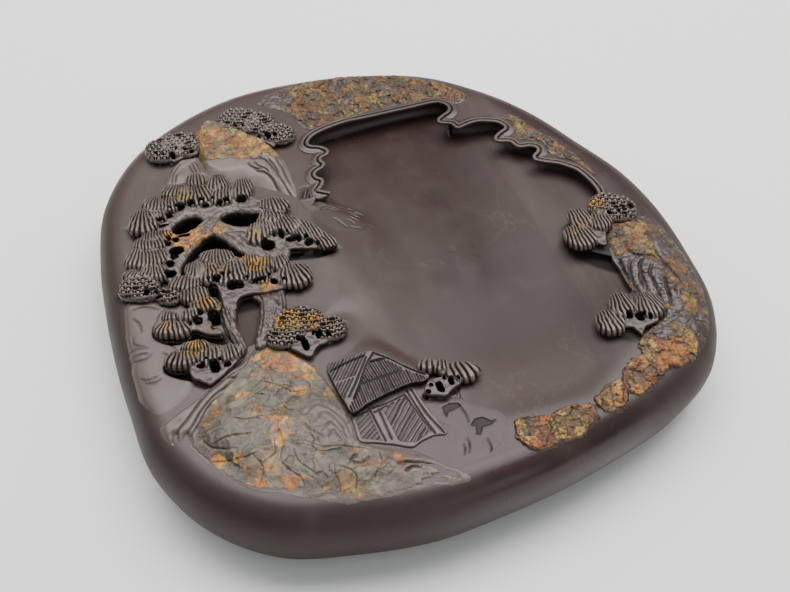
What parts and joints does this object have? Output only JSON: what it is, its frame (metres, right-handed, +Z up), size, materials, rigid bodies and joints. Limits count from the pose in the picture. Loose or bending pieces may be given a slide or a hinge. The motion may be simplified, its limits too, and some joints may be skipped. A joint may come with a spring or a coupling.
{
  "type": "ink stone",
  "caption": "Rounded stone slab for grinding ink, with a sloping sunken pool, cloud-scroll lip, rough crust left as rocks, and a carved landscape of pines and a thatched hut.",
  "frame": {"origin": "middle of the foot, on the surface the stone lies on", "axes": "+Z up out of the pool; +Y across the top face, towards the deep end of the pool; +X to the right of the carved landscape"},
  "size_m": [0.282, 0.2998, 0.0456],
  "materials": {
    "purple_stone": "honed to a low sheen",
    "honed_stone": "honed, matte",
    "carved_stone": "carved, waxed",
    "weathered_stone": "rough, chipped",
    "crust": "rough natural crust, rust coloured"
  },
  "bodies": {
    "root": {"stone_slab": "purple_stone", "cloud_lip": "honed_stone", "far_crust": "crust", "right_crust": "crust", "near_crust": "crust", "front_boulder": "weathered_stone", "front_spur": "weathered_stone", "peak_boulder": "weathered_stone", "peak_ledge": "weathered_stone", "right_boulder": "crust", "hut_roof": "carved_stone", "hut_wall": "carved_stone", "left_trunk": "carved_stone", "right_trunk": "carved_stone", "pine_branches": "carved_stone", "lowest_crown": "carved_stone", "lower_left_crown": "carved_stone", "left_scaled_crown": "carved_stone", "centre_front_crown": "carved_stone", "right_low_crown": "carved_stone", "centre_crown": "carved_stone", "left_crown": "carved_stone", "reaching_crown": "carved_stone", "branch_knot": "carved_stone", "upper_right_crown": "carved_stone", "upper_left_crown": "carved_stone", "top_crown": "carved_stone", "boulder_pine": "carved_stone", "hut_pine": "carved_stone", "right_pine_upper": "carved_stone", "right_pine_lower": "carved_stone", "far_left_pine": "carved_stone", "peak_pine": "carved_stone"}
  },
  "joints": []
}
